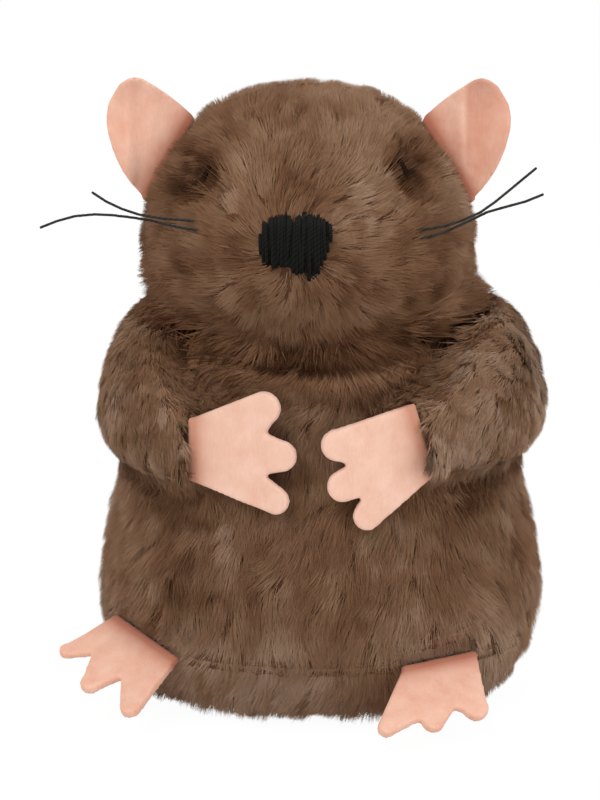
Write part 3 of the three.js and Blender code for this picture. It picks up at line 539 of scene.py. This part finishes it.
# The skin of a whole stuffed body, its panels and stuffing run together, that the pile grows from
def growingSkin(body):
    mesh, _ = outerShell(evenCopy([*covers[body], *stuffings[body]], 0.8 * mm, 6))
    points = pointsOf(mesh)
    normals = normalsOf(mesh)
    depth, share = pileDepth(body, points, normals)
    fold = np.array([max(0, -clearance(filled, Vector(point), 20 * mm)) for point in points])
    underNose = np.exp(-((points[:, 0] - noseMiddle.x) / (4 * mm)) ** 2)
    chin = underNose * (points[:, 1] < -8 * mm) * (body != "torso")
    byEar = np.array([body == "head" and clearance(ears, Vector(point), 4 * mm) < 3.2 * mm
                      for point in points])
    fold *= ((share < 0.999) | byEar) * (1 - 0.6 * chin)
    setPoints(mesh, points - normals * depth[:, None])
    return mesh, normals, depth, share, fold


# Spreads roots evenly over the skin, fewer where nothing is seen
def strandRoots(mesh, normals, depth, share, fold, crowding, random):
    mesh.calc_loop_triangles()
    corners = np.zeros(len(mesh.loop_triangles) * 3, int)
    mesh.loop_triangles.foreach_get("vertices", corners)
    corners = corners.reshape(-1, 3)
    points = pointsOf(mesh)
    a, b, c = (points[corners[:, i]] for i in range(3))
    areas = np.linalg.norm(np.cross(b - a, c - a), axis=1) / 2
    under = (normals[corners].mean(axis=1)[:, 2] < -0.85) & (a[:, 2] < 4 * mm)
    deep = np.clip((fold[corners].mean(axis=1) - 3.5 * mm) / (2.5 * mm), 0, 1)
    areas = areas * np.where(under, 0.4, 1) * (1 - 0.85 * deep) * crowding
    count = int(areas.sum() / mm ** 2 * pileLooks["perSquareMm"])
    picked = random.choice(len(areas), count, p=areas / areas.sum())
    first = np.sqrt(random.random(count))
    second = random.random(count)
    weights = np.stack([1 - first, first * (1 - second), first * second], axis=1)
    chosen = corners[picked]
    roots = (points[chosen] * weights[:, :, None]).sum(axis=1)
    ups = unit((normals[chosen] * weights[:, :, None]).sum(axis=1))
    return roots, ups, *((field[chosen] * weights).sum(axis=1) for field in (depth, share, fold))


def combedPile(body, seed):
    random = np.random.default_rng(seed)
    mesh, normals, *fields = growingSkin(body)
    roots, ups, depth, share, fold = strandRoots(mesh, normals, *fields, pileLooks["crowding"][body], random)
    count = len(roots)
    crease = np.clip((fold - 0.35 * mm) / (0.8 * mm), 0, 1)
    hollow = eyeHollow(roots) * (body == "head")
    nearEye = (hollow > 0.02) & (hollow < 0.35)
    lengths = pileLooks["length"][body] * random.uniform(0.75, 1.15, count) + 0.8 * fold
    nearNose = np.linalg.norm(roots - np.array(noseMiddle), axis=1)
    lengths *= np.clip(nearNose / (14 * mm), 0.6, 1) * (1 - 0.5 * hollow)
    lengths *= np.clip(roots[:, 2] / (7 * mm), 0.5, 1)

    # In a crease the pile rises to the filled skin and lies on that
    for i in np.flatnonzero(crease > 0):
        normal = filled.find_nearest(Vector(roots[i]))[1]
        ups[i] = unit(ups[i] * (1 - crease[i]) + np.array(normal) * crease[i])

    # The comb's way along the skin, with swirls and a lock for each strand
    lockCount = int(count / pileLooks["perSquareMm"] / (pileLooks["lockSize"] / mm) ** 2)
    locks = random.choice(count, lockCount, replace=False)
    finder = KDTree(lockCount)
    for i, lock in enumerate(locks):
        finder.insert(roots[lock], i)
    finder.balance()
    lockOf = np.array([finder.find(root)[1] for root in roots])
    towards, swirl = combing(body, roots)
    turn = swirl * ripples(roots, 16 * mm, seed + 1) + 0.5 * swirl * ripples(roots, 6 * mm, seed + 2)
    turn += random.normal(0, math.radians(10), lockCount)[lockOf] + random.normal(0, math.radians(11), count)
    turn += crease * random.normal(0, math.radians(20), count)
    along = unit(towards - ups * (towards * ups).sum(axis=1, keepdims=True))
    sideways = np.cross(ups, along)
    along = along * np.cos(turn)[:, None] + sideways * np.sin(turn)[:, None]
    tips = roots + along * lengths[:, None]
    spread = tips - tips[locks][lockOf]
    tips = tips - spread * pileLooks["lockPull"] * random.uniform(0.4, 1.0, count)[:, None]

    # The tip of a strand lies near the CAD skin
    rise = pileLooks["rise"] + random.normal(0, 0.06, count) * mm
    rise += pileLooks["lockRise"] * random.normal(0, 1, lockCount)[lockOf]
    alongStrand = np.maximum(eyeHollow((roots + tips) / 2), 0.7 * eyeHollow(tips))
    hollow = np.maximum(hollow, alongStrand * (body == "head"))
    rise -= 0.5 * depth * hollow
    under = (ups[:, 2] < -0.75) & (roots[:, 2] < 2.5 * mm)
    rise = np.where(under, random.uniform(-0.4, -0.05, count) * mm, rise)
    rise += 0.12 * mm * (1 - share)
    form = bmesh.new()
    form.from_mesh(mesh)
    own = BVHTree.FromBMesh(form)
    form.free()

    def laid(i, point):
        spot, normal, *_ = own.find_nearest(Vector(point))
        if normal.dot(ups[i]) < 0.2:
            # Past a rim, such as a cuff's, a strand runs straight on
            spot, normal = Vector(point), Vector(ups[i])
        spot += normal * (depth[i] + rise[i])
        if crease[i] > 0:
            level, slope, *_ = filled.find_nearest(Vector(point))
            spot = spot.lerp(level + slope * rise[i], crease[i])
            normal = normal.lerp(slope, crease[i])
        spot.z = max(spot.z, pileLooks["floorGap"])
        return spot, normal

    others = [tree for name, tree in bodyTrees.items() if name != body]
    keep = np.ones(count, bool)
    tipUps = ups.copy()
    for i, root in enumerate(roots):
        for reach in (1, 0.55, 0.3, -0.6):
            tip, tipUps[i] = laid(i, root + (tips[i] - root) * reach)
            middle = (Vector(root) + tip) / 2
            free = min(clearance(obstacles, spot, 3 * mm) for spot in (middle, tip)) > 0.12 * mm
            if free and 0.999 > share[i] and crease[i] < 0.5:
                free = min(clearance(tree, tip, 8 * mm) for tree in others) > -0.7 * mm
            if free and nearEye[i]:
                free = eyeHollow(np.array([tip]))[0] < 0.35
            if free:
                break
        keep[i] = free
        tips[i] = tip

    tones = pileLooks["tone"] + 0.08 * ripples(roots, 15 * mm, seed + 3)
    tones += 0.08 * ripples(roots, 5 * mm, seed + 4)
    tones += random.normal(0, 0.08, lockCount)[lockOf] + random.normal(0, 0.05, count)
    # Painted light and shade: the lighter and darker areas of the pile
    tones += paintedLightTone(body, roots)
    # Painted shade: the pile is darker in the creases between bodies, the more so where a crease is deep, and in
    # the eye hollows
    tones -= 0.08 * crease * (1 + np.clip(fold / (3 * mm), 0, 1)) + 0.55 * hollow ** 0.8
    tones = np.clip(tones, 0.01, 0.98)
    soft = pileLooks["softness"] - 0.6 * np.clip(fold / (3 * mm), 0, 1)
    widths = pileLooks["width"] * random.uniform(0.7, 1.3, count) * (1 + 0.7 * crease)

    # Each strand belongs to the panel that it stands on
    panels = [treeOf(node) for node in covers[body]]
    panelOf = np.array([np.argmin([abs(clearance(tree, Vector(root), 8 * mm)) for tree in panels])
                        for root in roots])
    total = 0
    for i, node in enumerate(covers[body]):
        mine = np.flatnonzero(keep & (panelOf == i))
        mine = mine[np.argsort(roots[mine, 2], kind="stable")]
        parts = max(1, math.ceil(len(mine) / pileLooks["mostInPiece"]))
        for j, part in enumerate(np.array_split(mine, parts)):
            name = f"{node}_pile_{j + 1}" if parts > 1 else node + "_pile"
            starts = roots[part] - ups[part] * pileLooks["rootSink"]
            piece = strandPiece(name, starts, tips[part], ups[part], tipUps[part], widths[part], tones[part],
                                soft[part])
            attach(piece, body)
            total += len(part)
    return total


# Stretches a copy of the template from each strand's root to its tip.
# No operator places hundreds of thousands of copies, so the copies' points are set in one go.
def strandPiece(name, roots, tips, ups, tipUps, widths, tones, soft):
    count = len(roots)
    size = len(strandPoints)
    heights = strandPoints[:, 2]
    level = np.rint(heights).astype(int)
    lines = np.stack([roots, tips], axis=1)[:, level]
    along = unit(tips - roots)
    across = unit(np.cross(ups, along))
    above = np.cross(along, across)
    x = strandPoints[:, 0] / 2
    y = strandPoints[:, 1] / 2 * pileLooks["flatness"]
    points = (lines
              + across[:, None] * (x[None] * widths[:, None])[:, :, None]
              + above[:, None] * (y[None] * widths[:, None])[:, :, None])
    faces = strandFaces[None] + (np.arange(count) * size)[:, None, None]

    mesh = bpy.data.meshes.new(name)
    mesh.vertices.add(count * size)
    mesh.vertices.foreach_set("co", points.ravel())
    mesh.loops.add(faces.size)
    mesh.loops.foreach_set("vertex_index", faces.ravel())
    mesh.polygons.add(faces.size // 3)
    mesh.polygons.foreach_set("loop_start", np.arange(0, faces.size, 3))
    mesh.update(calc_edges=True)

    # Each corner has a place of its own on the map, so that no face is a line there
    corner = np.arctan2(strandPoints[:, 1], strandPoints[:, 0]) / math.pi * 0.004
    corner = np.where(level == 1, 0, corner)
    u = np.broadcast_to(tones[:, None, None] + corner[strandFaces][None], faces.shape)
    v = heights[strandFaces].astype(float)
    flatFace = np.ptp(v, axis=1) < 0.01
    v[flatFace] += np.array([0, 0.01, 0.02])
    v = np.broadcast_to(v[None], faces.shape)
    layer = mesh.uv_layers.new(name="OFBake")
    layer.data.foreach_set("uv", np.stack([u, v], axis=-1).ravel())
    mesh.materials.append(pile)
    mesh.polygons.foreach_set("use_smooth", [True] * len(mesh.polygons))

    # Fine pile takes the light as the surface that it makes, more than as single hairs
    soft = soft[:, None, None]
    smooth = unit(np.stack([ups, tipUps], axis=1))[:, level]
    light = unit(soft * smooth + (1 - soft) * normalsOf(mesh).reshape(count, size, 3))
    mesh.normals_split_custom_set_from_vertices(light.reshape(-1, 3))
    piece = bpy.data.objects.new(name, mesh)
    bpy.context.scene.collection.objects.link(piece)
    return piece


for seed, body in enumerate(covers):
    print("pile of the", body, combedPile(body, 100 + 10 * seed), "strands")


# Felt: hands, feet and ears, with rounded rims and their own wave

feltLooks = {
    "voxel": 0.24 * mm,
    "wave": 0.10 * mm,
    "waveLength": 7 * mm,
    # How far the painted shade reaches from the seam
    "seamShadeReach": 1.1 * mm,
    # For each ear: where its crease runs across x, and the strength of the painted shade beyond it
    "ridge": {"left_ear": (18.0 * mm, 0.5), "right_ear": (-24.6 * mm, 0.15)},
    "ridgeRise": 0.5 * mm,
}
hinges = {joint["child"]: joint for joint in frame["joints"]}


def feltPiece(node, material, seed):
    mesh = evenCopy([node], feltLooks["voxel"], 5)
    points = pointsOf(mesh)
    hinge = hinges[bodyOf[node]]
    start = np.array(hinge["pos_m"])
    axis = unit(np.array(hinge["axis"], float))
    away = points - start
    away -= (away @ axis)[:, None] * axis
    distance = np.linalg.norm(away, axis=1)
    out = unit(away.mean(axis=0))
    through = np.cross(axis, out)
    wave = feltLooks["wave"] * ripples(points, feltLooks["waveLength"], seed)
    wave *= np.clip(distance / (4 * mm), 0, 1)
    # Painted shade along the seam, where the felt goes into the body
    fold = np.exp(-np.maximum(distance - 0.8 * mm, 0) / feltLooks["seamShadeReach"]) * 0.85
    moved = points + wave[:, None] * through
    if node in feltLooks["ridge"]:
        # An ear is creased lengthways: the felt beyond the crease turns away and takes painted shade, a deeper
        # colour
        place, strength = feltLooks["ridge"][node]
        beyond = (points[:, 0] - place) * np.sign(place)
        ridge = np.exp(-(beyond / (1.2 * mm)) ** 2) * np.clip(distance / (3 * mm), 0, 1)
        moved[:, 1] -= feltLooks["ridgeRise"] * ridge
        upper = np.clip((points[:, 2] - 66.5 * mm) / (3 * mm), 0, 1)
        turnedAwayShade = np.clip(beyond / (0.7 * mm), 0, 1) * np.exp(-beyond / (9 * mm))
        fold = np.maximum(fold, strength * upper * turnedAwayShade)
    setPoints(mesh, moved)
    shade = mesh.attributes.new("paintedFeltShade", "FLOAT", "POINT")
    shade.data.foreach_set("value", fold)
    piece = addPiece(node + "_felt", mesh, material, bodyOf[node])
    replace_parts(piece, node)
    return piece


feltPiece("right_hand", handFelt, 11)
feltPiece("left_hand", handFelt, 12)
feltPiece("right_foot", limbFelt, 13)
feltPiece("left_foot", limbFelt, 14)
feltPiece("right_ear", limbFelt, 15)
feltPiece("left_ear", limbFelt, 16)
print("felt is ready")


# Threads: a curve with a round section, made a mesh

def threadMesh(name, paths, radius, sides=3):
    curve = bpy.data.curves.new(name, "CURVE")
    curve.dimensions = "3D"
    curve.bevel_depth = radius
    curve.bevel_resolution = sides
    curve.use_fill_caps = True
    for path in paths:
        spline = curve.splines.new("POLY")
        spline.points.add(len(path) - 1)
        for point, spot in zip(spline.points, path):
            point.co = (*spot, 1)
    holder = bpy.data.objects.new(name, curve)
    bpy.context.scene.collection.objects.link(holder)
    mesh = bpy.data.meshes.new_from_object(holder.evaluated_get(bpy.context.evaluated_depsgraph_get()))
    bpy.data.objects.remove(holder)
    return mesh


# Nose: upright satin stitches side by side over a padded underlay, with a ragged lower edge

noseLooks = {
    "stitches": 24,
    "halfWidth": 4.4,
    "radius": 0.25 * mm,
    # Across and up from the nose's middle, in mm
    "tops": [(-4.4, 0.9), (-3.8, 2.7), (-2.7, 3.2), (-1.5, 3.6), (-0.6, 3.3), (0.0, 3.1), (0.6, 3.5),
             (1.3, 3.8), (2.7, 3.5), (3.7, 3.2), (4.4, 2.4)],
    "bottoms": [(-4.4, -0.4), (-3.9, -2.0), (-3.5, -2.7), (-2.7, -2.6), (-1.9, -2.1), (-1.1, -2.2),
                (-0.1, -2.8), (0.9, -3.2), (1.7, -3.9), (2.5, -3.3), (3.1, -2.6), (3.5, -1.3), (4.1, 0.4),
                (4.4, 1.4)],
}


def noseStitches():
    random = np.random.default_rng(31)
    face = treeOf("face_cover", "nose_embroidery")
    tops = np.array(noseLooks["tops"])
    bottoms = np.array(noseLooks["bottoms"])
    paths = []
    for i in range(noseLooks["stitches"]):
        across = noseLooks["halfWidth"] * (2 * (i + 0.5) / noseLooks["stitches"] - 1)
        top = np.interp(across, tops[:, 0], tops[:, 1]) + random.normal(0, 0.16)
        bottom = np.interp(across, bottoms[:, 0], bottoms[:, 1]) + random.normal(0, 0.26)
        lean = random.normal(0, 0.16)
        path = []
        for j in range(13):
            share = j / 12
            x = noseMiddle.x + (across + lean * (share - 0.5)) * mm
            z = noseMiddle.z + (top + (bottom - top) * share) * mm
            spot = face.ray_cast(Vector((x, noseLow.y - 10 * mm, z)), Vector((0, 1, 0)))[0]
            inward = 1.1 * (1 - math.sin(math.pi * share) ** 0.5) * mm
            path.append((x, spot.y + inward + 0.05 * mm * random.random(), z))
        paths.append(path)
    return threadMesh("nose", paths, noseLooks["radius"])


mesh = noseStitches()
underlay = evenCopy(["nose_embroidery"], 0.3 * mm, 3)
points = pointsOf(underlay) - normalsOf(underlay) * 0.2 * mm
setPoints(underlay, (points - np.array(noseMiddle)) * np.array([0.88, 1, 0.82]) + np.array(noseMiddle))
form = bmesh.new()
form.from_mesh(mesh)
form.from_mesh(underlay)
form.to_mesh(mesh)
form.free()
nose = addPiece("nose_satin_stitches", mesh, noseThread, "head")
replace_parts(nose, "nose_embroidery")


# Eyes: turns of thread drawn deep into the face, fanned out towards their lower end
def eyeStitches(node, middle, slant):
    paths = []
    for turn in (-1, 0, 1):
        path = []
        for j in range(9):
            share = j / 8
            reach = (share - 0.5) * eyeLooks["length"] * (1 - 0.08 * abs(turn))
            bow = math.sin(math.pi * share)
            aside = turn * eyeLooks["pitch"] * (1.6 - share)
            path.append((
                middle.x + math.sin(slant) * reach + aside,
                middle.y + eyeLooks["sink"] - 0.3 * mm * bow + 0.12 * mm * abs(turn),
                middle.z + math.cos(slant) * reach))
        paths.append(path)
    mesh = threadMesh(node, paths, eyeLooks["radius"])
    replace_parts(addPiece(node + "_thread", mesh, eyeThread, "head"), node)


for node, (middle, slant) in zip(eyeLooks["shifts"], eyes):
    eyeStitches(node, middle, slant)


# Neck: turns of brown thread wound round the gathered edge
neckLooks = {"turns": 5, "steps": 48, "inset": 0.7 * mm, "bundle": 0.42 * mm, "radius": 0.26 * mm}


def neckTurns():
    low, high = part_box("neck_gathering_thread")
    middle = (low + high) / 2
    radius = (high.x - low.x) / 2 - neckLooks["inset"]
    path = []
    for j in range(neckLooks["turns"] * neckLooks["steps"] + 1):
        angle = 2 * math.pi * j / neckLooks["steps"]
        ply = angle / neckLooks["turns"]
        reach = radius + neckLooks["bundle"] * math.cos(ply)
        path.append((
            middle.x + reach * math.cos(angle),
            middle.y + reach * math.sin(angle),
            middle.z + neckLooks["bundle"] * math.sin(ply)))
    mesh = threadMesh("neck", [path], neckLooks["radius"])
    piece = addPiece("neck_gathering_turns", mesh, seamThread, "neck")
    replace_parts(piece, "neck_gathering_thread")


neckTurns()


# The ladder stitch down the back follows the curve of the seam, drawn down into the pile
closingLooks = {"rungs": 9, "steps": 8, "swing": 0.45 * mm, "sink": 1.0 * mm, "radius": 0.15 * mm}


def closingStitch():
    low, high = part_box("closing_thread")
    back = bodyTrees["torso"]
    steps = closingLooks["rungs"] * closingLooks["steps"]
    path = []
    for j in range(steps + 1):
        z = low.z + (high.z - low.z) * j / steps
        # The skin is felt for beside the seam, because the seam itself is a groove
        sides = [back.ray_cast(Vector((way * 1.6 * mm, high.y + 10 * mm, z)), Vector((0, -1, 0)))[0].y
                 for way in (-1, 1)]
        swing = closingLooks["swing"] * math.sin(2 * math.pi * j / closingLooks["steps"])
        path.append(((low.x + high.x) / 2 + swing, sum(sides) / 2 - closingLooks["sink"], z))
    mesh = threadMesh("closing", [path], closingLooks["radius"])
    piece = addPiece("closing_ladder_stitch", mesh, seamThread, "torso")
    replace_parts(piece, "closing_thread")


closingStitch()
for node in ("upper_whisker_thread", "lower_whisker_thread"):
    mesh = evenCopy([node], 0.1 * mm, 8)
    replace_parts(addPiece(node + "_waxed", mesh, whiskerWax, "head"), node)
eyeTie = frame["nodes"]["eye_tie_thread"]
eyeTie.data.materials.clear()
eyeTie.data.materials.append(eyeThread)
print("threads are ready")


# Inside: wadding, and the pouch of dried catnip in the middle of it

def innerPiece(node, name, voxel, rough, length, material, seed):
    mesh = evenCopy([node], voxel, 3)
    points = pointsOf(mesh)
    inward = rough * (0.5 + 0.5 * ripples(points, length, seed))
    setPoints(mesh, points - normalsOf(mesh) * inward[:, None])
    piece = addPiece(name, mesh, material, bodyOf[node])
    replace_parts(piece, node)


innerPiece("lower_stuffing", "lower_wadding", 0.9 * mm, 0.7 * mm, 7 * mm, wadding, 41)
innerPiece("upper_stuffing", "upper_wadding", 0.9 * mm, 0.7 * mm, 7 * mm, wadding, 42)
innerPiece("head_stuffing", "head_wadding", 0.9 * mm, 0.7 * mm, 7 * mm, wadding, 43)
innerPiece("right_arm_stuffing", "right_arm_wadding", 0.5 * mm, 0.3 * mm, 4 * mm, wadding, 44)
innerPiece("left_arm_stuffing", "left_arm_wadding", 0.5 * mm, 0.3 * mm, 4 * mm, wadding, 45)
innerPiece("catnip_pouch_lower_sheet", "pouch_lower_cloth", 0.35 * mm, 0.12 * mm, 3 * mm, pouchCloth,
           46)
innerPiece("catnip_pouch_upper_sheet", "pouch_upper_cloth", 0.35 * mm, 0.12 * mm, 3 * mm, pouchCloth,
           47)
innerPiece("catnip_filling", "catnip_leaf", 0.45 * mm, 0.4 * mm, 1.6 * mm, catnipLeaf, 48)
print("inside is ready")


# Studio: soft lamps, a pale floor that keeps the shadow, and a white background for the camera

studioLooks = {
    # Each lamp's place and size in mm, and its power in W
    "key": ((-260, -420, 520), 340, 2.1),
    "fill": ((420, -320, 220), 400, 0.9),
    "back": ((60, 420, 420), 360, 0.9),
    "sky": 0.62,
    "floorWhite": 0.95,
}


def addLamp(name, place, size, power):
    lamp = bpy.data.lights.new(name, "AREA")
    lamp.size = size * mm
    lamp.energy = power
    holder = bpy.data.objects.new(name, lamp)
    bpy.context.scene.collection.objects.link(holder)
    holder.location = Vector(place) * mm
    holder.rotation_euler = (Vector((0, 0, 40 * mm)) - holder.location).to_track_quat("-Z", "Y").to_euler()


for name in ("key", "fill", "back"):
    addLamp(name, *studioLooks[name])


# 1 for rays that bring the picture its background, 0 for those that light the toy
def backgroundRays(tree):
    ray = addNode(tree, "LightPath")
    seen = ray.outputs["Is Camera Ray"]
    for kind in ("Is Glossy Ray", "Is Transmission Ray"):
        seen = addNode(tree, "Math", {0: seen, 1: ray.outputs[kind]}, operation="MAXIMUM").outputs[0]
    return seen


def studioFloor():
    form = bmesh.new()
    bmesh.ops.create_grid(form, x_segments=2, y_segments=2, size=3)
    mesh = bpy.data.meshes.new("floor")
    form.to_mesh(mesh)
    form.free()
    material, tree = newMaterial("white_paper_sweep")
    paper = addNode(tree, "BsdfDiffuse", {"Color": linearColour("#f4f4f4")})
    glow = addNode(tree, "Emission", {"Color": (1, 1, 1, 1), "Strength": 1.02})
    seen = backgroundRays(tree)
    share = addNode(tree, "Math", {0: seen, 1: studioLooks["floorWhite"]}, operation="MULTIPLY")
    mixed = addNode(tree, "MixShader", {0: share.outputs[0], 1: paper.outputs[0], 2: glow.outputs[0]})
    addNode(tree, "OutputMaterial", {0: mixed.outputs[0]})
    mesh.materials.append(material)
    floor = bpy.data.objects.new("floor", mesh)
    bpy.context.scene.collection.objects.link(floor)
    floor.location.z = -0.02 * mm


studioFloor()
world = bpy.data.worlds.new("studio")
bpy.context.scene.world = world
world.use_nodes = True
sky = world.node_tree
sky.nodes.clear()
strength = addNode(sky, "MapRange", {0: backgroundRays(sky), 3: studioLooks["sky"], 4: 1.0})
light = addNode(sky, "Background", {"Color": (1, 1, 1, 1), "Strength": strength.outputs[0]})
addNode(sky, "OutputWorld", {0: light.outputs[0]})
bpy.context.scene.view_settings.view_transform = "Standard"
print("studio is ready")
